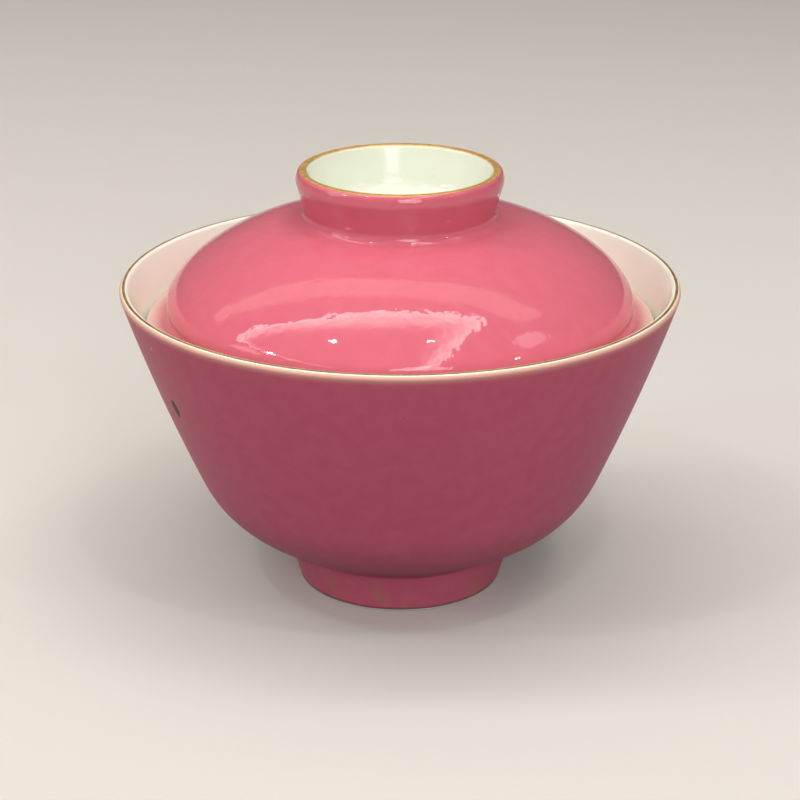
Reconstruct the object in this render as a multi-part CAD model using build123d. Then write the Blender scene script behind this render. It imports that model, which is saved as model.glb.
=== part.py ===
from build123d import *
from math import atan2, cos, hypot, radians, sin, sqrt, tan
import os

# Covered rice bowl: a cone-sided bowl on a foot ring, and a bell-shaped lid that drops inside its lip.
# Both are turned about +Z, so every sub-part is a section in radius and height, spun about that axis.
# The origin is the centre of the foot's resting edge. Lengths in millimetres, angles in degrees.

# Bowl, outside
rim_radius = 56.0  # widest circle of the lip
bowl_height = 64.25
wall_swell = 0.8  # how far the wall stands out from a straight cone
belly_radius = 37.95  # circle where wall and underside would meet in a corner
belly_height = 17.2
belly_round = 24.2
foot_radius = 23.3  # outside of the foot where it leaves the underside
foot_height = 8.75
foot_taper = 16.0  # the foot's side leans in by this much on its way down
foot_blend = 1.0
foot_edge_round = 0.6

# Bowl, inside
wall_thickness = 1.85
base_thickness = 3.6
belly_inner_round = 21.5
foot_ring_width = 2.7
foot_well_depth = 6.2
foot_well_taper = 6.0
foot_well_blend = 1.6

# Lid
lid_thickness = 2.0
seat_depth = 8.45  # from the top of the bowl's lip down to the middle of the lid's edge
seat_clearance = 0.3
flange_width = 4.35  # from the dome's widest circle out to the lid's edge
flange_slope = 9.0
flange_blend = 1.3
tuck_round = 3.0  # below its widest circle the dome turns in before it flares out
tuck_angle = 22.0
dome_side_round = 5.0
dome_side_slope = 59.8
dome_shoulder_round = 19.6
dome_shoulder_slope = 37.3
dome_crown_round = 42.8

# Knob: a ring, open at the top, on which the lid also stands when it is put down upside down
knob_height = 9.9  # above the dome's crown
knob_base_radius = 18.2  # on the lid's middle surface, half a wall below the crown
knob_lip_radius = 20.78
knob_mouth_radius = 18.35
knob_lip_drop = 2.0  # from the knob's top down to the lip's widest circle
knob_lip_inset = 0.6  # the top edge stands in from the widest circle by this much
knob_rim_round = 1.0
knob_lip_round = 1.6
knob_mouth_round = 0.8
knob_base_blend = 1.8
knob_well_rise = 0.6  # floor of the knob's well above the dome's crown
knob_well_taper = 12.0
knob_well_blend = 3.0

# Fired-on coats
enamel_thickness = 0.25
gilding_thickness = 0.12
enamel_below_lip = 1.3  # a white band stays bare between the gilded lip and the enamel
enamel_above_table = 0.5
rim_gilding_width = 0.7
knob_gilding_inset = 0.2  # out from the edge of the knob's mouth
knob_gilding_width = 1.4
enamel_below_knob_top = 0.3


def bare_corner(face, point):
    # the corner of a section that lies nearest to a point
    return min(face.vertices(), key=lambda v: (v.center() - Vector(point)).length)


def rounded(face, point, radius):
    return fillet(bare_corner(face, point), radius)


def closed(*edges):
    return make_face([edge for curve in edges for edge in curve.edges()])


def zone(inner, outer, low, high):
    # a plain rectangle of the section plane, between two radii and two heights
    return Pos((inner + outer) / 2, (low + high) / 2) * Rectangle(outer - inner, high - low)


def skin(section, thickness, area):
    # the outermost layer of a section, where it lies in an area
    return (section - offset(section, -thickness)) & area


def laid_on(section, thickness, area):
    # a thin layer brushed on from above, where it lies in an area
    return (section - Pos(0, -thickness) * section) & area


def turned(section):
    return revolve(Plane.XZ * section, Axis.Z)


# The wall is one arc of a large circle, and everything that follows the wall shares its centre.
# Rounding the lip takes a little off its width, so the corner before rounding stands further out.
wall_rise = bowl_height - belly_height
lip_round = 0.46 * wall_thickness
plain_lean = atan2(rim_radius - belly_radius, wall_rise)
lip_corner = rim_radius + lip_round * (tan(plain_lean) + 1 / cos(plain_lean) - 1)
wall_lean = atan2(lip_corner - belly_radius, wall_rise)
wall_chord = hypot(lip_corner - belly_radius, wall_rise)
wall_arc = (wall_chord ** 2 / 4 + wall_swell ** 2) / (2 * wall_swell)
wall_centre_r = (lip_corner + belly_radius) / 2 - (wall_arc - wall_swell) * cos(wall_lean)
wall_centre_z = (bowl_height + belly_height) / 2 + (wall_arc - wall_swell) * sin(wall_lean)


def wall_point(depth, z):
    # point at height z on the circle that lies inside the wall's outer face by depth
    return (wall_centre_r + sqrt((wall_arc - depth) ** 2 - (z - wall_centre_z) ** 2), z)


def wall_curve(depth, low, high):
    return ThreePointArc(wall_point(depth, high), wall_point(depth, (low + high) / 2), wall_point(depth, low))


def bowl_block():
    # the bowl's outside, filled in to the axis
    foot_low = foot_radius - foot_height * tan(radians(foot_taper))
    wall = wall_curve(0, belly_height, bowl_height)
    rest = Polyline(wall @ 1, (foot_radius, foot_height), (foot_low, 0), (0, 0), (0, bowl_height), wall @ 0)
    block = closed(wall, rest)
    block = rounded(block, wall @ 1, belly_round)
    block = rounded(block, (foot_radius, foot_height), foot_blend)
    return rounded(block, (foot_low, 0), foot_edge_round)


def bowl_section():
    foot_low = foot_radius - foot_height * tan(radians(foot_taper)) - foot_ring_width
    well_top = foot_low - foot_well_depth * tan(radians(foot_well_taper))
    floor = foot_well_depth + base_thickness
    wall = wall_curve(wall_thickness, belly_height, bowl_height)
    corner = wall @ 1
    dish_rise = corner.Y - floor
    dish_arc = (corner.X ** 2 + dish_rise ** 2) / (2 * dish_rise)
    half = corner.X / 2
    dish = ThreePointArc(corner, (half, floor + dish_arc - sqrt(dish_arc ** 2 - half ** 2)), (0, floor))
    cavity = closed(wall, dish, Polyline(dish @ 1, (0, bowl_height), wall @ 0))
    cavity = rounded(cavity, corner, belly_inner_round)
    well = closed(Polyline((0, 0), (foot_low, 0), (well_top, foot_well_depth), (0, foot_well_depth), (0, 0)))
    well = rounded(well, (well_top, foot_well_depth), foot_well_blend)
    section = bowl_block() - cavity - well
    section = rounded(section, (foot_low, 0), foot_edge_round)
    section = rounded(section, wall_point(0, bowl_height), lip_round)
    return rounded(section, wall_point(wall_thickness, bowl_height), lip_round)


# The lid's edge is a half round that lies inside the wall by the named clearance. The flange slopes up from
# it to a blend, the blend runs into the tuck under the dome, and so the dome's height follows from the seat.
slope = radians(flange_slope)
tuck = radians(tuck_angle)
edge_round = lid_thickness / 2
edge_z = bowl_height - seat_depth
edge_r = wall_point(wall_thickness + seat_clearance + edge_round, edge_z)[0]
dome_radius = edge_r + edge_round - flange_width
blend_r = dome_radius - tuck_round * (1 - cos(tuck)) + flange_blend * (cos(tuck) - sin(slope))
flange_run = edge_r + edge_round * sin(slope) - blend_r
flange_top = edge_z + edge_round * cos(slope) + flange_run * tan(slope)
dome_z = flange_top + flange_blend * (cos(slope) + sin(tuck)) + tuck_round * sin(tuck)


def bell(inset):
    # a line parallel to the lid's outer face, from the crown out to the flange, set in by inset
    widest = (dome_radius - inset, dome_z)
    side = JernArc(widest, (0, 1), dome_side_round - inset, 90 - dome_side_slope)
    shoulder = JernArc(side @ 1, side % 1, dome_shoulder_round - inset, dome_side_slope - dome_shoulder_slope)
    crown = JernArc(shoulder @ 1, shoulder % 1, dome_crown_round - inset, dome_shoulder_slope)
    under = JernArc(widest, (0, -1), tuck_round - inset, -tuck_angle)
    blend = JernArc(under @ 1, under % 1, flange_blend + inset, 90 + tuck_angle - flange_slope)
    return [crown, shoulder, side, under, blend]


def shell_of_lid():
    outer = bell(0)
    inner = bell(lid_thickness)
    edge = CenterArc((edge_r, edge_z), edge_round, 90 - flange_slope, -180)
    crown_out = outer[0] @ 1
    crown_in = inner[0] @ 1
    middle = Polyline(crown_out, (0, crown_out.Y), (0, crown_in.Y), crown_in)
    flange = [Line(outer[-1] @ 1, edge @ 0), Line(inner[-1] @ 1, edge @ 1)]
    return closed(*outer, *inner, *flange, edge, middle), crown_out.Y


def lid_outside():
    # the lid's outside with its knob, filled in to the axis
    shell, crown_z = shell_of_lid()
    top = crown_z + knob_height
    lip = (knob_lip_radius, top - knob_lip_drop)
    rim = (knob_lip_radius - knob_lip_inset, top)
    inner = bell(lid_thickness / 2)
    filling = closed(*inner, Polyline(inner[0] @ 1, (0, (inner[0] @ 1).Y), (0, edge_z), inner[-1] @ 1))
    # The knob's side passes its base radius half a wall below the crown, and runs on down into the filling.
    sunk = crown_z - lid_thickness / 2
    side_lean = (knob_lip_radius - knob_base_radius) / (lip[1] - sunk)
    root = (knob_base_radius - side_lean * (sunk - dome_z), dome_z)
    knob = Polyline((0, top), (0, dome_z), root, lip, rim, (0, top))
    block = shell + filling + closed(knob)
    block = rounded(block, (knob_base_radius, crown_z), knob_base_blend)
    block = rounded(block, lip, knob_lip_round)
    return rounded(block, rim, knob_rim_round), crown_z, top


def lid_section():
    block, crown_z, top = lid_outside()
    floor = crown_z + knob_well_rise
    well_low = knob_mouth_radius - (top - floor) * tan(radians(knob_well_taper))
    mouth = (knob_mouth_radius, top)
    well = closed(Polyline((0, top), mouth, (well_low, floor), (0, floor), (0, top)))
    well = rounded(well, (well_low, floor), knob_well_blend)
    inner = bell(lid_thickness)
    start = inner[0] @ 1
    end = inner[-1] @ 1
    low = edge_z - lid_thickness
    hollow = closed(*inner, Polyline(start, (0, start.Y), (0, low), (end.X, low), end))
    return rounded(block - hollow - well, mouth, knob_mouth_round)


def bowl_parts():
    section = bowl_section()
    coat_top = bowl_height - enamel_below_lip
    clear_of_axis = 2 * enamel_thickness
    below_lip = zone(clear_of_axis, 2 * rim_radius, enamel_above_table, coat_top)
    enamel = skin(bowl_block(), enamel_thickness, below_lip)
    lip_middle = lip_corner - wall_thickness / (2 * cos(wall_lean)) - lip_round * tan(wall_lean)
    half = rim_gilding_width / 2
    on_lip = zone(lip_middle - half, lip_middle + half, bowl_height - lip_round, bowl_height)
    gilding = laid_on(section, gilding_thickness, on_lip)
    return {
        "bowl_porcelain": section - enamel - gilding,
        "bowl_enamel": enamel,
        "bowl_rim_gilding": gilding,
    }


def lid_parts():
    section = lid_section()
    outside, _, top = lid_outside()
    coat_top = top - enamel_below_knob_top
    above_edge = zone(knob_mouth_radius, 2 * rim_radius, edge_z, coat_top)
    # Of the strips that this leaves, the longest is the lid's outer face.
    enamel = max(skin(outside, enamel_thickness, above_edge).faces(), key=lambda strip: strip.area)
    gilt_start = knob_mouth_radius + knob_gilding_inset
    on_knob = zone(gilt_start, gilt_start + knob_gilding_width, top - knob_rim_round, top)
    gilding = laid_on(section, gilding_thickness, on_knob)
    return {
        "lid_porcelain": section - enamel - gilding,
        "lid_enamel": enamel,
        "lid_knob_gilding": gilding,
    }


os.makedirs("parts", exist_ok=True)
for node, section in {**bowl_parts(), **lid_parts()}.items():
    export_step(turned(section), f"parts/{node}.step")
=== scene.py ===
import bpy
import numpy as np
from math import cos, pi, radians, sin, sqrt, tan
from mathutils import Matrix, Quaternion, Vector


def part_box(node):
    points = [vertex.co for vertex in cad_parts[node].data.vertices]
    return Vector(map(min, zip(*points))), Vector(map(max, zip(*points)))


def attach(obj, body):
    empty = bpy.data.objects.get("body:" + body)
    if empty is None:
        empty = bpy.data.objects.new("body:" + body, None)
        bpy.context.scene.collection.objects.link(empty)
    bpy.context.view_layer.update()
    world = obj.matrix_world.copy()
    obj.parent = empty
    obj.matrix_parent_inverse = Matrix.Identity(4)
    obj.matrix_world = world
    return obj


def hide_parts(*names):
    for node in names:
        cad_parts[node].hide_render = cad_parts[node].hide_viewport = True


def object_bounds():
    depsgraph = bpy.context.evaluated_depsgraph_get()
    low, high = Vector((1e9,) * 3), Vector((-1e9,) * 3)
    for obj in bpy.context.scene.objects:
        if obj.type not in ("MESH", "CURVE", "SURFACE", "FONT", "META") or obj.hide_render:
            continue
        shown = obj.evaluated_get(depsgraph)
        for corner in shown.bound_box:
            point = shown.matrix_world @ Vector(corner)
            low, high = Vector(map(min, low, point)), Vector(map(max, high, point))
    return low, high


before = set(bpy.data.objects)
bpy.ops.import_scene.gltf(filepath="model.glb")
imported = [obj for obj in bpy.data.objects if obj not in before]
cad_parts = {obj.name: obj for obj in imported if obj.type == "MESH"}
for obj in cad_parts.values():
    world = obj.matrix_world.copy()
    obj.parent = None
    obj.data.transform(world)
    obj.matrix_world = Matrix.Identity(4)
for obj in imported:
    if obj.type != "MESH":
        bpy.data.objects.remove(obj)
cadBounds = [[float(value) for value in corner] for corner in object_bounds()]
print("frame loaded with nodes", sorted(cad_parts))

mm = 0.001  # every dictionary below gives lengths in millimetres and angles in degrees
segments = 240  # faces round the axis


def linearColour(hexCode):
    # sRGB hex to the linear numbers that shaders take
    parts = np.array([int(hexCode[i:i + 2], 16) / 255 for i in (1, 3, 5)])
    linear = np.where(parts <= 0.04045, parts / 12.92, ((parts + 0.055) / 1.055) ** 2.4)
    return (*[float(part) for part in linear], 1.0)


def addNode(tree, kind, settings=None, links=None):
    # one node with its properties or free sockets set, and its other sockets linked to earlier outputs
    node = tree.nodes.new(kind)
    for key, value in (settings or {}).items():
        if isinstance(key, str) and hasattr(node, key):
            setattr(node, key, value)
        else:
            node.inputs[key].default_value = value
    for key, source in (links or {}).items():
        tree.links.new(source, node.inputs[key])
    return node


def smoothRamp(value, low, high):
    # 0 below low, 1 above high, an S curve between them
    share = np.clip((value - low) / (high - low), 0, 1)
    return share * share * (3 - 2 * share)


# Outlines are rows of (radius, height). They run from the axis on top, over the outside, to the axis below,
# so the piece's outer side is always on the left of the way along.


def runCircle(start, end, swell):
    # the circle whose arc from start to end stands out to the left of its chord by swell;
    # a straight run is an arc of a circle a kilometre across
    chord = end - start
    length = np.hypot(*chord)
    swell = swell or length ** 2 / 8e6
    radius = (length ** 2 / 4 + swell ** 2) / (2 * swell)
    left = np.array([-chord[1], chord[0]]) / length
    return (start + end) / 2 - left * (radius - swell), radius


def arcPoints(centre, start, end, step):
    # centre plus radius times (cosine, sine) of an angle that goes the short way from start to end
    first, last = (np.arctan2(*(point - centre)[::-1]) for point in (start, end))
    turn = (last - first + pi) % (2 * pi) - pi
    radius = np.hypot(*(start - centre))
    count = max(2, int(radius * abs(turn) / step) + 1, int(abs(turn) / 0.15) + 1)
    angles = first + turn * np.linspace(0, 1, count + 1)[:, None]
    return centre + radius * np.hstack([np.cos(angles), np.sin(angles)])


def circlesMeet(centreOne, radiusOne, centreTwo, radiusTwo, near):
    # of the two points that lie on both circles, the one nearer to a given point
    between = centreTwo - centreOne
    apart = np.hypot(*between)
    along = (radiusOne ** 2 - radiusTwo ** 2 + apart ** 2) / (2 * apart)
    aside = sqrt(radiusOne ** 2 - along ** 2)
    unit = between / apart
    across = np.array([-unit[1], unit[0]])
    found = [centreOne + unit * along + across * side for side in (aside, -aside)]
    return min(found, key=lambda point: np.hypot(*(point - near)))


def outline(corners, step):
    # Corners are (radius, height, rounding, swell of the run that follows). A rounding is the circle that
    # lies its own radius away from both runs, and it touches each run in line with that run's centre.
    points = [np.array(corner[:2], float) for corner in corners]
    runs = [runCircle(a, b, corner[3]) for a, b, corner in zip(points, points[1:], corners)]
    stretches = []
    here = points[0]
    for corner, point, before, after in zip(corners[1:], points[1:], runs, runs[1:]):
        normals = [(point - centre) / radius for centre, radius in (before, after)]
        side = np.sign(normals[0][0] * normals[1][1] - normals[0][1] * normals[1][0])
        reach = corner[2] * side
        (centreOne, radiusOne), (centreTwo, radiusTwo) = before, after
        into = out = point
        if corner[2]:
            middle = circlesMeet(centreOne, abs(radiusOne + reach), centreTwo, abs(radiusTwo + reach), point)
            into = centreOne + (middle - centreOne) * radiusOne / (radiusOne + reach)
            out = centreTwo + (middle - centreTwo) * radiusTwo / (radiusTwo + reach)
        stretches.append(arcPoints(centreOne, here, into, step))
        if corner[2]:
            stretches.append(arcPoints(middle, into, out, step))
        here = out
    stretches.append(arcPoints(runs[-1][0], here, points[-1], step))
    return withoutRepeats(np.concatenate(stretches))


def arcsEndToEnd(start, heading, moves, step):
    # each move is (radius, turn in degrees), a turn to the left is positive
    stretches = []
    here = np.array(start, float)
    for radius, turn in moves:
        side = np.sign(turn) * np.array([-sin(heading), cos(heading)])
        centre = here + side * radius
        swing = radians(turn)
        rotated = np.array([[cos(swing), -sin(swing)], [sin(swing), cos(swing)]]) @ (here - centre)
        stretches.append(arcPoints(centre, here, centre + rotated, step))
        here = centre + rotated
        heading += swing
    return np.concatenate(stretches)


def withoutRepeats(line):
    gaps = np.hypot(*np.diff(line, axis=0).T)
    return line[np.append(True, gaps > 1e-5)]


def alongLine(line):
    return np.append(0, np.cumsum(np.hypot(*np.diff(line, axis=0).T)))


def leftNormals(line):
    # average of the neighbouring runs' directions, turned a quarter to the left
    way = np.gradient(line, axis=0)
    way /= np.hypot(*way.T)[:, None]
    return np.stack([-way[:, 1], way[:, 0]], axis=1)


# Meshes


def outOfTrue(points):
    # Throwing and firing leave the pieces a little out of true: radius times 1 + rise times small cosines of
    # twice and three times the angle. One field moves every piece, so that what fits still fits.
    angle = np.arctan2(points[:, 1], points[:, 0])
    rise = np.clip(points[:, 2] / (64 * mm), 0, 1.4)
    swing = 1 + rise * (0.0007 * np.cos(2 * angle + 0.6) + 0.0004 * np.cos(3 * angle - 1.1))
    return points * np.stack([swing, swing, np.ones_like(swing)], axis=1)


def turnedPiece(name, line, attributes, ring=False):
    # Point of place and angle = (radius times cosine, radius times sine, height). A line that starts and ends
    # on the axis closes there in two poles, and a ring's line closes on itself.
    body = line if ring else line[1:-1]
    rows = len(body)
    angles = np.linspace(0, 2 * pi, segments, endpoint=False)
    grid = body[:, None, :1] * np.stack([np.cos(angles), np.sin(angles)], axis=1)[None]
    heights = np.repeat(body[:, 1, None, None], segments, axis=1)
    points = np.concatenate([grid, heights], axis=2).reshape(-1, 3)
    low = np.arange(rows if ring else rows - 1)[:, None] * segments
    high = (low + segments) % (rows * segments)
    this = np.arange(segments)[None]
    following = (this + 1) % segments
    quads = np.stack([low + this, high + this, high + following, low + following], axis=-1)
    faces = quads.reshape(-1, 4).tolist()
    values = {key: np.repeat(value if ring else value[1:-1], segments) for key, value in attributes.items()}
    if not ring:
        poles = np.array([[0, 0, line[0, 1]], [0, 0, line[-1, 1]]])
        count = len(points)
        end = (rows - 1) * segments
        top = np.stack([np.full(segments, count), this[0], following[0]], axis=1)
        bottom = np.stack([np.full(segments, count + 1), end + following[0], end + this[0]], axis=1)
        points = np.concatenate([points, poles])
        faces += top.tolist() + bottom.tolist()
        values = {key: np.append(value, attributes[key][[0, -1]]) for key, value in values.items()}
    mesh = bpy.data.meshes.new(name)
    mesh.from_pydata(outOfTrue(points * mm), [], faces)
    for key, value in values.items():
        mesh.attributes.new(key, "FLOAT", "POINT").data.foreach_set("value", value.astype(np.float32))
    mesh.polygons.foreach_set("use_smooth", np.ones(len(mesh.polygons), bool))
    mesh.update()
    piece = bpy.data.objects.new(name, mesh)
    bpy.context.collection.objects.link(piece)
    return piece


def coatedBody(line, coats):
    # The clay under a coat lies deeper than the line by the coat's own thickness, so that no face repeats.
    along = alongLine(line)
    sunk = np.zeros(len(line))
    for start, end, thickness in coats:
        sunk = np.maximum(sunk, thickness * smoothRamp(along, start - 0.1, start + 0.4)
                          * smoothRamp(-along, -end - 0.1, -end + 0.4))
    return line - leftNormals(line) * sunk[:, None]


def coatRing(line, start, end, thickness):
    # The outer side is the line itself between two places along it. The inner side is the same stretch set in
    # by a little less than the coat's thickness, thinned to an edge at both ends.
    along = alongLine(line)
    inside = (along > start + 0.02) & (along < end - 0.02)
    places = np.concatenate([[start], along[inside], [end]])
    face = np.stack([np.interp(places, along, line[:, i]) for i in (0, 1)], axis=1)
    normals = leftNormals(line)
    across = np.stack([np.interp(places, along, normals[:, i]) for i in (0, 1)], axis=1)
    fromEdge = np.minimum(places - start, end - places)
    depth = 0.9 * thickness * np.clip(0.08 + fromEdge / 0.4, 0, 1)
    back = face - across * depth[:, None]
    coat = np.concatenate([places - start, (places - start)[::-1]])
    toEnd = np.concatenate([end - places, (end - places)[::-1]])
    return np.concatenate([face, back[::-1]]), {"fromTop": coat, "fromBottom": toEnd}


def finishPiece(piece, material, body, node):
    piece.data.materials.append(material)
    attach(piece, body)
    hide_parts(node)
    print("made", piece.name, "with", len(piece.data.polygons), "faces")


# Bowl

bowlShape = {
    "height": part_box("bowl_rim_gilding")[1][2] / mm,
    "lipCorner": 56.387, "lipRound": 0.851, "wall": 1.85, "swell": 0.8,
    "bellyRadius": 37.95, "bellyHeight": 17.2, "bellyRound": 24.2, "bellyInnerRound": 21.5, "floor": 9.8,
    "footRadius": 23.3, "footHeight": 8.75, "footLow": 20.79, "footBlend": 1.0, "footEdge": 0.6,
    "footRingWidth": 2.7, "footWell": 6.2, "footWellLean": 0.65, "footWellRound": 1.6,
    "enamelTop": 64.05, "enamelBottom": 0.5, "enamelThickness": 0.25,
    "gildingMiddle": 55.25, "gildingWidth": 0.55, "gildingThickness": 0.12,
    "step": 0.8,
}


def bowlLine(shape):
    lip = np.array([shape["lipCorner"], shape["height"]])
    belly = np.array([shape["bellyRadius"], shape["bellyHeight"]])
    centre, radius = runCircle(lip, belly, shape["swell"])
    innerRadius = radius - shape["wall"]
    innerLip, innerBelly = (centre[0] + sqrt(innerRadius ** 2 - (z - centre[1]) ** 2)
                            for z in (lip[1], belly[1]))
    innerChord = np.hypot(innerLip - innerBelly, lip[1] - belly[1])
    innerSwell = innerRadius - sqrt(innerRadius ** 2 - innerChord ** 2 / 4)
    rise = belly[1] - shape["floor"]
    dishRadius = (innerBelly ** 2 + rise ** 2) / (2 * rise)
    dishSwell = dishRadius - sqrt(dishRadius ** 2 - (innerBelly ** 2 + rise ** 2) / 4)
    footInner = shape["footLow"] - shape["footRingWidth"]
    corners = [
        (0, shape["floor"], 0, -dishSwell),
        (innerBelly, belly[1], shape["bellyInnerRound"], -innerSwell),
        (innerLip, lip[1], shape["lipRound"], 0),
        (*lip, shape["lipRound"], shape["swell"]),
        (*belly, shape["bellyRound"], 0),
        (shape["footRadius"], shape["footHeight"], shape["footBlend"], 0),
        (shape["footLow"], 0, shape["footEdge"], 0),
        (footInner, 0, shape["footEdge"], 0),
        (footInner - shape["footWellLean"], shape["footWell"], shape["footWellRound"], 0),
        (0, shape["footWell"], 0, 0),
    ]
    return outline(corners, shape["step"])


def placeAtHeight(line, height, after):
    # how far along the line it first comes down to a height, once it is past a given place
    along = alongLine(line)
    down = np.flatnonzero((line[:-1, 1] > height) & (line[1:, 1] <= height) & (along[1:] > after))[0]
    share = (line[down, 1] - height) / (line[down, 1] - line[down + 1, 1])
    return along[down] + share * (along[down + 1] - along[down])


def placeAtRadius(line, radius, start, end):
    # how far along the line it reaches a radius while it moves outwards between two places
    along = alongLine(line)
    part = (along >= start) & (along <= end)
    return float(np.interp(radius, line[part, 0], along[part]))


def makeBowl(shape, finishes):
    line = bowlLine(shape)
    along = alongLine(line)
    lipTop = along[np.argmax(line[:, 1])]
    middle = placeAtRadius(line, shape["gildingMiddle"], lipTop - 2, lipTop + 1.6)
    gilding = (middle - shape["gildingWidth"] / 2, middle + shape["gildingWidth"] / 2)
    enamel = (placeAtHeight(line, shape["enamelTop"], lipTop),
              placeAtHeight(line, shape["enamelBottom"], lipTop))
    coats = [(*gilding, shape["gildingThickness"]), (*enamel, shape["enamelThickness"])]
    body = turnedPiece("bowlPorcelain", coatedBody(line, coats), {})
    finishPiece(body, finishes["bowlPorcelain"], "bowl", "bowl_porcelain")
    for name, (start, end, thickness), node, slotName in (
            ("bowlRimGilding", coats[0], "bowl_rim_gilding", "gilding"),
            ("bowlEnamel", coats[1], "bowl_enamel", "bowl_enamel")):
        ring, values = coatRing(line, start, end, thickness)
        finishPiece(turnedPiece(name, ring, values, True), finishes[name], "bowl", node)


# Lid

lidShape = {
    "top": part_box("lid_knob_gilding")[1][2] / mm,
    "thickness": 2.0, "domeRadius": 46.89, "domeHeight": 60.114, "edgeRadius": 50.24, "edgeHeight": 55.8,
    "sideRound": 5.0, "sideSlope": 59.8, "shoulderRound": 19.6, "shoulderSlope": 37.3, "crownRound": 42.8,
    "tuckRound": 3.0, "tuckAngle": 22.0, "flangeBlend": 1.3, "flangeSlope": 9.0,
    "knobBase": 18.46, "knobBaseBlend": 1.8, "lipRadius": 20.78, "lipDrop": 2.0, "lipInset": 0.6,
    "lipRound": 3.4, "rimRound": 1.0, "mouthRadius": 18.35, "mouthRound": 0.8,
    "wellRise": 0.6, "wellTaper": 12.0, "wellBlend": 3.0,
    "enamelThickness": 0.25, "gildingThickness": 0.12, "gildingInner": 18.45, "gildingDrop": 0.12,
    "step": 0.65,
}


def crownStart(shape, inset):
    # the arcs of side, shoulder and crown, added up inwards and upwards from the widest circle
    slopes = [90, shape["sideSlope"], shape["shoulderSlope"], 0]
    rounds = [shape[key] - inset for key in ("sideRound", "shoulderRound", "crownRound")]
    bends = list(zip(rounds, slopes, slopes[1:]))
    inwards = sum(r * (sin(radians(a)) - sin(radians(b))) for r, a, b in bends)
    upwards = sum(r * (cos(radians(b)) - cos(radians(a))) for r, a, b in bends)
    return shape["domeRadius"] - inset - inwards, shape["domeHeight"] + upwards


def bellArcs(shape, inset, withCrown):
    # crown, shoulder, side and tuck turn to the right, the flange's blend turns back to the left
    x, z = crownStart(shape, inset)
    crown = shape["crownRound"] - inset
    slope = radians(shape["shoulderSlope"])
    moves = [
        (shape["shoulderRound"] - inset, shape["shoulderSlope"] - shape["sideSlope"]),
        (shape["sideRound"] - inset, shape["sideSlope"] - 90),
        (shape["tuckRound"] - inset, -shape["tuckAngle"]),
        (shape["flangeBlend"] + inset, 90 + shape["tuckAngle"] - shape["flangeSlope"]),
    ]
    if withCrown:
        return arcsEndToEnd((x, z), 0, [(crown, -shape["shoulderSlope"])] + moves, shape["step"])
    shoulder = (x + crown * sin(slope), z - crown * (1 - cos(slope)))
    return arcsEndToEnd(shoulder, -slope, moves, shape["step"])


def lidLine(shape):
    x, crownHeight = crownStart(shape, 0)
    crown = shape["crownRound"]
    bell = bellArcs(shape, 0, False)
    base = (shape["knobBase"], crownHeight - crown + sqrt(crown ** 2 - (shape["knobBase"] - x) ** 2))
    crownChord = np.hypot(*(bell[0] - base))
    crownSwell = crown - sqrt(crown ** 2 - crownChord ** 2 / 4)
    top = shape["top"]
    floor = crownHeight + shape["wellRise"]
    wellLow = shape["mouthRadius"] - (top - floor) * tan(radians(shape["wellTaper"]))
    knob = outline([
        (0, floor, 0, 0),
        (wellLow, floor, shape["wellBlend"], 0),
        (shape["mouthRadius"], top, shape["mouthRound"], 0),
        (shape["lipRadius"] - shape["lipInset"], top, shape["rimRound"], 0),
        (shape["lipRadius"], top - shape["lipDrop"], shape["lipRound"], 0),
        (*base, shape["knobBaseBlend"], crownSwell),
        (*bell[0], 0, 0),
    ], shape["step"])
    inner = bellArcs(shape, shape["thickness"], True)[::-1]
    edge = np.array([shape["edgeRadius"], shape["edgeHeight"]])
    first, last = (shape["thickness"] / 2 * np.array([cos(radians(a)), sin(radians(a))])
                   for a in (90 - shape["flangeSlope"], -90 - shape["flangeSlope"]))
    outermost = edge + np.array([shape["thickness"] / 2, 0])
    rim = np.concatenate([arcPoints(edge, edge + first, outermost, 0.2),
                          arcPoints(edge, outermost, edge + last, 0.2)])
    flanges = [between(bell[-1], rim[0], shape["step"]), between(rim[-1], inner[0], shape["step"])]
    middle = between(inner[-1], (0, inner[-1][1]), shape["step"])
    return withoutRepeats(np.concatenate([knob, bell, flanges[0], rim, flanges[1], inner, middle]))


def between(start, end, step):
    count = int(np.hypot(*np.subtract(end, start)) / step) + 1
    return start + np.linspace(0, 1, count + 1)[:, None] * np.subtract(end, start)


def makeLid(shape, finishes):
    line = lidLine(shape)
    along = alongLine(line)
    lipTop = along[np.argmax(line[:, 1])]
    gildingStart = placeAtRadius(line, shape["gildingInner"], lipTop - 1, lipTop + 1.5)
    gildingEnd = placeAtHeight(line, shape["top"] - shape["gildingDrop"], lipTop)
    edgePlace = along[np.argmax(line[:, 0])]
    coats = [(gildingStart, gildingEnd, shape["gildingThickness"]),
             (gildingEnd, edgePlace, shape["enamelThickness"])]
    body = turnedPiece("lidPorcelain", coatedBody(line, coats), {})
    finishPiece(body, finishes["lidPorcelain"], "lid", "lid_porcelain")
    for name, (start, end, thickness), node, slotName in (
            ("lidKnobGilding", coats[0], "lid_knob_gilding", "gilding"),
            ("lidEnamel", coats[1], "lid_enamel", "lid_enamel")):
        ring, values = coatRing(line, start, end, thickness)
        finishPiece(turnedPiece(name, ring, values, True), finishes[name], "lid", node)


# Finishes

# Ranges are the noise or distance at which something begins and is complete. Sizes in mm are those of one
# lump of noise: ripples are the orange peel of the fired surface, clouds the unevenness of the colour.

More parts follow.
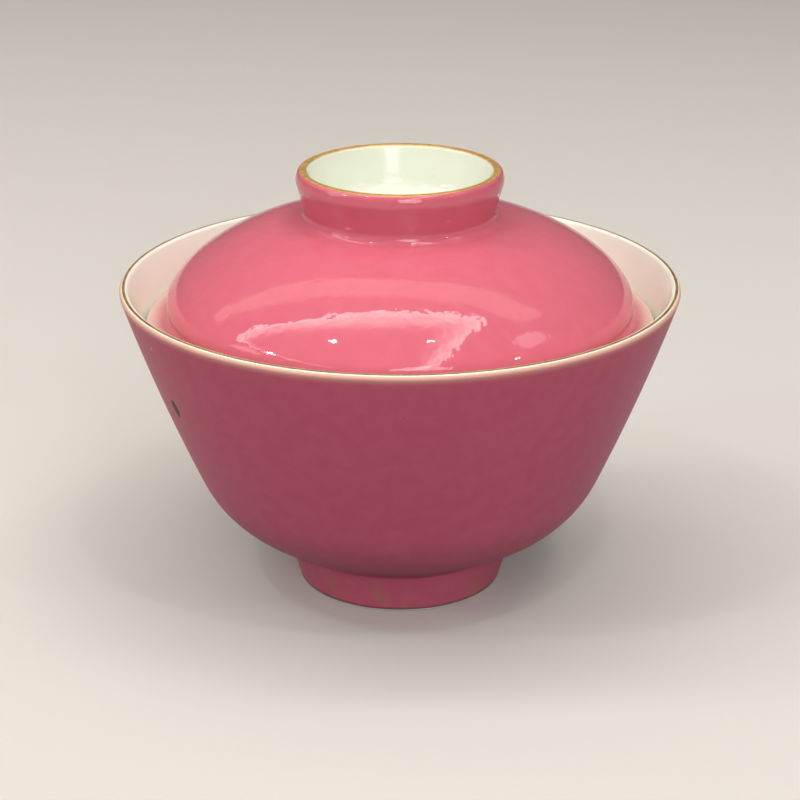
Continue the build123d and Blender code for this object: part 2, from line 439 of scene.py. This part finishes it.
porcelainFinish = {
    "clay": "#dfe4d4", "unglazed": "#cfc4b2", "ior": 1.5, "glazedRoughness": 0.12, "bareRoughness": 0.7,
    "glazedFrom": (0.05, 0.35), "rippleSize": 2.6, "rippleHeight": 0.006,
    "ironSpeck": "#8f7a5c", "speckSize": 0.28, "speckRange": (0.86, 0.93),
}
# The bowl's clay is set greener and whiter than the lid's to cancel the pink light that the lid throws into
# the bowl. This is a painted counter-light, not the porcelain's own colour, so the inside looks green once
# the lid is off.
bowlPorcelainTintedAgainstPinkBounce = dict(porcelainFinish, clay="#f4fbee")
lidEnamelFinish = {
    "rose": "#d86c7e", "deep": "#d6697b", "pale": "#e3cfc0", "roughness": 0.04, "ior": 1.5, "specular": 0.45,
    "rippleSize": 1.5, "rippleHeight": 0.045, "cloudSize": 4.0, "cloudRange": (0.35, 0.65),
    "topFade": (-1.0, 0.0), "bottomFade": (0.0, 5.4),
    "marks": [],
}
bowlEnamelFinish = {
    "rose": "#da6a82", "deep": "#d7667e", "pale": "#efc4aa", "roughness": 0.42, "ior": 1.5, "specular": 0.13,
    "rippleSize": 0.55, "rippleHeight": 0.006, "cloudSize": 3.0, "cloudRange": (0.35, 0.65),
    "topFade": (-0.3, 2.2), "bottomFade": (-1.0, 0.0),
    "smudge": "#c87e74", "smudgeSize": 5.0, "smudgeRange": (0.45, 0.75), "smudgeHeights": (9.0, 4.5),
    # kiln marks: middle, half height, height over width, colour
    "marks": [((-43.2, -24.6, 46.1), 2.75, 1.7, "#c98078"), ((-43.2, -24.6, 46.1), 2.35, 1.8, "#33090f"),
              ((0.7, -53.0, 55.3), 0.35, 1.0, "#7d3a44"), ((-47.0, -27.3, 59.2), 0.5, 1.0, "#e9b9b4"),
              ((38.0, 31.0, 44.0), 0.45, 1.2, "#7d3a44")],
    "markRaggedSize": 1.2, "markRaggedness": 0.6, "markEdge": (1.2, 1.38),
}
gildingFinish = {
    "gold": "#eec67c", "rubbed": "#dcae62", "roughness": 0.5, "metallic": 0.7,
    "rubSize": 1.6, "rubRange": (0.4, 0.65),
}
wornGildingFinish = dict(gildingFinish, gold="#b8904e", rubbed="#94703c", metallic=0.5, rubSize=2.5)


def newMaterial(name):
    material = bpy.data.materials.new(name)
    material.use_nodes = True
    tree = material.node_tree
    tree.nodes.clear()
    shader = addNode(tree, "ShaderNodeBsdfPrincipled")
    addNode(tree, "ShaderNodeOutputMaterial", links={"Surface": shader.outputs["BSDF"]})
    coordinates = addNode(tree, "ShaderNodeTexCoord").outputs["Object"]
    return material, tree, shader, coordinates


def noiseOf(tree, coordinates, sizeInMm, detail):
    # a noise whose lumps measure about sizeInMm across
    settings = {"Scale": 1 / (sizeInMm * mm), "Detail": detail}
    return addNode(tree, "ShaderNodeTexNoise", settings, {"Vector": coordinates}).outputs["Fac"]


def rampOf(tree, value, low, high):
    settings = {"interpolation_type": "SMOOTHSTEP", "From Min": low, "From Max": high}
    return addNode(tree, "ShaderNodeMapRange", settings, {"Value": value}).outputs["Result"]


def mixOf(tree, share, first, second):
    # colours given as hex are fixed, anything else is an output to link
    settings = {"data_type": "RGBA"}
    node = addNode(tree, "ShaderNodeMix", settings, {0: share})
    for socket, colour in ((6, first), (7, second)):
        if isinstance(colour, str):
            node.inputs[socket].default_value = linearColour(colour)
        else:
            tree.links.new(colour, node.inputs[socket])
    return node.outputs[2]


def bumpOf(tree, coordinates, finish, detail):
    ripple = noiseOf(tree, coordinates, finish["rippleSize"], detail)
    settings = {"Strength": 1.0, "Distance": finish["rippleHeight"] * mm}
    return addNode(tree, "ShaderNodeBump", settings, {"Height": ripple}).outputs["Normal"]


def addSmudges(tree, coordinates, finish, colour):
    # what years of handling leave on the foot: full at the lower of the two heights, none above the upper
    height = addNode(tree, "ShaderNodeSeparateXYZ", links={"Vector": coordinates}).outputs["Z"]
    low = rampOf(tree, height, *(part * mm for part in finish["smudgeHeights"]))
    smudge = rampOf(tree, noiseOf(tree, coordinates, finish["smudgeSize"], 3.0), *finish["smudgeRange"])
    smudge = addNode(tree, "ShaderNodeMath", {"operation": "MULTIPLY"}, {0: smudge, 1: low}).outputs[0]
    return mixOf(tree, smudge, colour, finish["smudge"])


def addMarks(tree, coordinates, finish, colour):
    # each mark is a ball round its middle, squeezed sideways, and noise makes its edge ragged
    ragged = noiseOf(tree, coordinates, finish["markRaggedSize"], 2.0)
    for middle, radius, slimness, markColour in finish["marks"]:
        away = addNode(tree, "ShaderNodeVectorMath",
                       {"operation": "SUBTRACT", 1: [part * mm for part in middle]},
                       {0: coordinates}).outputs["Vector"]
        away = addNode(tree, "ShaderNodeVectorMath", {"operation": "MULTIPLY", 1: (slimness, slimness, 1.0)},
                       {0: away}).outputs["Vector"]
        away = addNode(tree, "ShaderNodeVectorMath", {"operation": "LENGTH"}, {0: away}).outputs["Value"]
        settings = {"operation": "MULTIPLY_ADD", 1: finish["markRaggedness"] * radius * mm}
        away = addNode(tree, "ShaderNodeMath", settings, {0: ragged, 2: away}).outputs[0]
        inside = rampOf(tree, away, *(share * radius * mm for share in finish["markEdge"]))
        colour = mixOf(tree, inside, markColour, colour)
    return colour


def roseEnamel(name, finish):
    # Lead-glass enamel coloured rose with colloidal gold, brushed or blown on and fired over white porcelain:
    # an even opaque pink that thins to a pale edge, with an orange-peel surface that makes reflections waver.
    material, tree, shader, coordinates = newMaterial(name)
    clouds = rampOf(tree, noiseOf(tree, coordinates, finish["cloudSize"], 4.0), *finish["cloudRange"])
    colour = mixOf(tree, clouds, finish["rose"], finish["deep"])
    for edge in ("Top", "Bottom"):
        distance = addNode(tree, "ShaderNodeAttribute", {"attribute_name": "from" + edge}).outputs["Fac"]
        covered = rampOf(tree, distance, *finish[edge.lower() + "Fade"])
        colour = mixOf(tree, covered, finish["pale"], colour)
    if "smudge" in finish:
        colour = addSmudges(tree, coordinates, finish, colour)
    if finish["marks"]:
        colour = addMarks(tree, coordinates, finish, colour)
    tree.links.new(colour, shader.inputs["Base Color"])
    shader.inputs["Roughness"].default_value = finish["roughness"]
    shader.inputs["IOR"].default_value = finish["ior"]
    shader.inputs["Specular IOR Level"].default_value = finish["specular"]
    tree.links.new(bumpOf(tree, coordinates, finish, 1.5), shader.inputs["Normal"])
    return material


def glazedPorcelain(name, finish):
    # White hard-paste porcelain under a clear lime glaze: a warm white, glossy, with soft ripples and a few
    # specks of iron, and bare matte clay on the foot's resting edge.
    material, tree, shader, coordinates = newMaterial(name)
    height = addNode(tree, "ShaderNodeSeparateXYZ", links={"Vector": coordinates}).outputs["Z"]
    glazed = rampOf(tree, height, *(part * mm for part in finish["glazedFrom"]))
    specks = rampOf(tree, noiseOf(tree, coordinates, finish["speckSize"], 0.0), *finish["speckRange"])
    colour = mixOf(tree, specks, finish["clay"], finish["ironSpeck"])
    colour = mixOf(tree, glazed, finish["unglazed"], colour)
    tree.links.new(colour, shader.inputs["Base Color"])
    shader.inputs["IOR"].default_value = finish["ior"]
    settings = {"To Min": finish["bareRoughness"], "To Max": finish["glazedRoughness"]}
    roughness = addNode(tree, "ShaderNodeMapRange", settings, {"Value": glazed}).outputs["Result"]
    tree.links.new(roughness, shader.inputs["Roughness"])
    tree.links.new(bumpOf(tree, coordinates, finish, 1.0), shader.inputs["Normal"])
    return material


def firedGold(name, finish):
    # Gold powder brushed on and fired: a satin yellow metal, duller and browner where cloths have rubbed it.
    # The share that isn't metallic is the matte look of a coat that thin.
    material, tree, shader, coordinates = newMaterial(name)
    rub = rampOf(tree, noiseOf(tree, coordinates, finish["rubSize"], 3.0), *finish["rubRange"])
    tree.links.new(mixOf(tree, rub, finish["gold"], finish["rubbed"]), shader.inputs["Base Color"])
    shader.inputs["Metallic"].default_value = finish["metallic"]
    shader.inputs["Roughness"].default_value = finish["roughness"]
    return material


finishes = {
    "lidPorcelain": glazedPorcelain("glazedPorcelain", porcelainFinish),
    # the bowl's porcelain takes a greener white, painted against the pink light from the lid
    "bowlPorcelain": glazedPorcelain("glazedPorcelainTintedAgainstPinkBounce", bowlPorcelainTintedAgainstPinkBounce),
    "lidEnamel": roseEnamel("glossyRoseEnamel", lidEnamelFinish),
    "bowlEnamel": roseEnamel("satinRoseEnamel", bowlEnamelFinish),
    "lidKnobGilding": firedGold("firedGold", gildingFinish),
    "bowlRimGilding": firedGold("wornFiredGold", wornGildingFinish),
}
print("made", len(finishes), "finishes")
makeBowl(bowlShape, finishes)
makeLid(lidShape, finishes)

# Studio

studio = {
    "floorPale": "#d9d7d3", "floorShade": "#403c3c", "floorSize": 3000.0, "floorRoughness": 0.9,
    "floorSpecular": 0.1, "world": "#dadce4", "worldStrength": 0.2,
    "cameraDistance": 420.9, "cameraHeight": 201.8, "cameraPitch": 21.27, "lens": 99.0,
}
aimHeight = 60.0  # lamps aim at the middle of the lid
ceiling = 900.0  # height of the panels above that
panels = {
    # flat panels that face down: middle (x, y) and size as shares of the ceiling's height, turn, colour and
    # radiance, the glow added along three edges, with its width and the power by which it falls
    "windowPanel": {"middle": (-0.72, -1.49), "size": (2.35, 3.1), "turn": 0, "colour": "#fff8ee",
                    "radiance": 0.25, "glow": 9.0, "glowWidth": 260.0, "glowFall": 1.5},
    "rearPanel": {"middle": (-0.55, 0.47), "size": (2.9, 0.26), "turn": -11, "colour": "#ffe4c8",
                  "radiance": 1.5, "glow": 0.0, "glowWidth": 100.0, "glowFall": 1.0},
}
softboxes = {
    # compass angle from the camera's side with right positive, height angle, distance, width and radiance
    "frontSoftbox": (10, 20, 2400.0, 1100.0, 5.2),
    "rightSoftbox": (77, 39, 1100.0, 300.0, 2.4),
    "leftSoftbox": (-79, 15, 1800.0, 560.0, 2.6),
}
spotShape = (1200.0, 44.0, 190.0)  # distance, width and radiance of a bare bulb
for spot, angles in (("spotOne", (-67, 27)), ("spotTwo", (-48.5, 57)),
                     ("spotThree", (23, 63)), ("spotFour", (58.5, 23))):
    softboxes[spot] = angles + spotShape


def makeFloor():
    size = studio["floorSize"] * mm
    corners = [(-size, -size), (size, -size), (size, size), (-size, size)]
    mesh = bpy.data.meshes.new("floor")
    mesh.from_pydata([(x, y, cadBounds[0][2]) for x, y in corners], [], [(0, 1, 2, 3)])
    floor = bpy.data.objects.new("floor", mesh)
    bpy.context.collection.objects.link(floor)
    # Matte studio paper: pale where it is seen or mirrored, darker for the light it throws back at the bowl.
    material, tree, shader, _ = newMaterial("paleMattePaper")
    path = addNode(tree, "ShaderNodeLightPath").outputs
    seen = addNode(tree, "ShaderNodeMath", {"operation": "MAXIMUM"},
                   {0: path["Is Camera Ray"], 1: path["Is Glossy Ray"]}).outputs[0]
    seen = addNode(tree, "ShaderNodeMath", {"operation": "MAXIMUM"},
                   {0: seen, 1: path["Is Transmission Ray"]}).outputs[0]
    tree.links.new(mixOf(tree, seen, studio["floorShade"], studio["floorPale"]), shader.inputs["Base Color"])
    shader.inputs["Roughness"].default_value = studio["floorRoughness"]
    shader.inputs["Specular IOR Level"].default_value = studio["floorSpecular"]
    floor.data.materials.append(material)


def towards(compass, rise):
    # unit vector; the camera stands on the side of negative Y
    a, e = radians(compass), radians(rise)
    return Vector((sin(a) * cos(e), -cos(a) * cos(e), sin(e)))


def placeLamp(name, data, place, aim, turn=0.0):
    lamp = bpy.data.objects.new(name, data)
    bpy.context.collection.objects.link(lamp)
    lamp.location = place
    facing = (aim - place).to_track_quat("-Z", "Y") if aim else Quaternion()
    lamp.rotation_euler = (Quaternion((0, 0, 1), radians(turn)) @ facing).to_euler()


def makePanel(name, panel):
    # The power that makes a strength of 1 a radiance of 1 is the area times pi. The glow is brightest at the
    # rear, left and right edges and fades inwards, as in a softbox with a white lining.
    size = [share * ceiling * mm for share in panel["size"]]
    data = bpy.data.lights.new(name, "AREA")
    data.shape = "RECTANGLE"
    data.size, data.size_y = size
    data.energy = size[0] * size[1] * pi
    data.use_nodes = True
    tree = data.node_tree
    tree.nodes.clear()
    place = addNode(tree, "ShaderNodeNewGeometry").outputs["Parametric"]
    across = addNode(tree, "ShaderNodeSeparateXYZ", links={"Vector": place}).outputs
    nearest = None
    for axis, length, low, high in (("X", size[0], 0.0, 1.0), ("X", size[0], 1.0, 0.0),
                                    ("Y", size[1], 1.0, 0.0)):
        distance = addNode(tree, "ShaderNodeMapRange", {"From Min": low, "From Max": high, "To Max": length},
                           {"Value": across[axis]}).outputs["Result"]
        if nearest is not None:
            distance = addNode(tree, "ShaderNodeMath", {"operation": "MINIMUM"},
                               {0: nearest, 1: distance}).outputs[0]
        nearest = distance
    glow = addNode(tree, "ShaderNodeMapRange",
                   {"From Max": panel["glowWidth"] * mm, "To Min": 1.0, "To Max": 0.0},
                   {"Value": nearest}).outputs["Result"]
    glow = addNode(tree, "ShaderNodeMath", {"operation": "POWER", 1: panel["glowFall"]}, {0: glow}).outputs[0]
    strength = addNode(tree, "ShaderNodeMath",
                       {"operation": "MULTIPLY_ADD", 1: panel["glow"], 2: panel["radiance"]},
                       {0: glow}).outputs[0]
    emission = addNode(tree, "ShaderNodeEmission", {"Color": linearColour(panel["colour"])},
                       {"Strength": strength})
    addNode(tree, "ShaderNodeOutputLight", links={"Surface": emission.outputs["Emission"]})
    x, y = (share * ceiling * mm for share in panel["middle"])
    placeLamp(name, data, Vector((x, y, (ceiling + aimHeight) * mm)), None, panel["turn"])


def makeLamps():
    aim = Vector((0, 0, aimHeight * mm))
    for name, panel in panels.items():
        makePanel(name, panel)
    for name, (compass, rise, distance, diameter, radiance) in softboxes.items():
        data = bpy.data.lights.new(name, "AREA")
        data.shape = "DISK"
        data.size = diameter * mm
        data.energy = pi / 4 * data.size ** 2 * pi * radiance
        placeLamp(name, data, aim + towards(compass, rise) * distance * mm, aim)
    world = bpy.data.worlds.new("studio")
    bpy.context.scene.world = world
    world.use_nodes = True
    background = world.node_tree.nodes["Background"]
    background.inputs["Color"].default_value = linearColour(studio["world"])
    background.inputs["Strength"].default_value = studio["worldStrength"]


def makeCamera():
    data = bpy.data.cameras.new("camera")
    data.lens = studio["lens"]
    data.sensor_width = 36
    camera = bpy.data.objects.new("camera", data)
    bpy.context.collection.objects.link(camera)
    camera.location = (0, -studio["cameraDistance"] * mm, studio["cameraHeight"] * mm)
    camera.rotation_euler = (radians(90 - studio["cameraPitch"]), 0, 0)
    bpy.context.scene.camera = camera


makeFloor()
makeLamps()
makeCamera()
bpy.context.scene.view_settings.view_transform = "Standard"
print("floor, lamps and camera are in place")
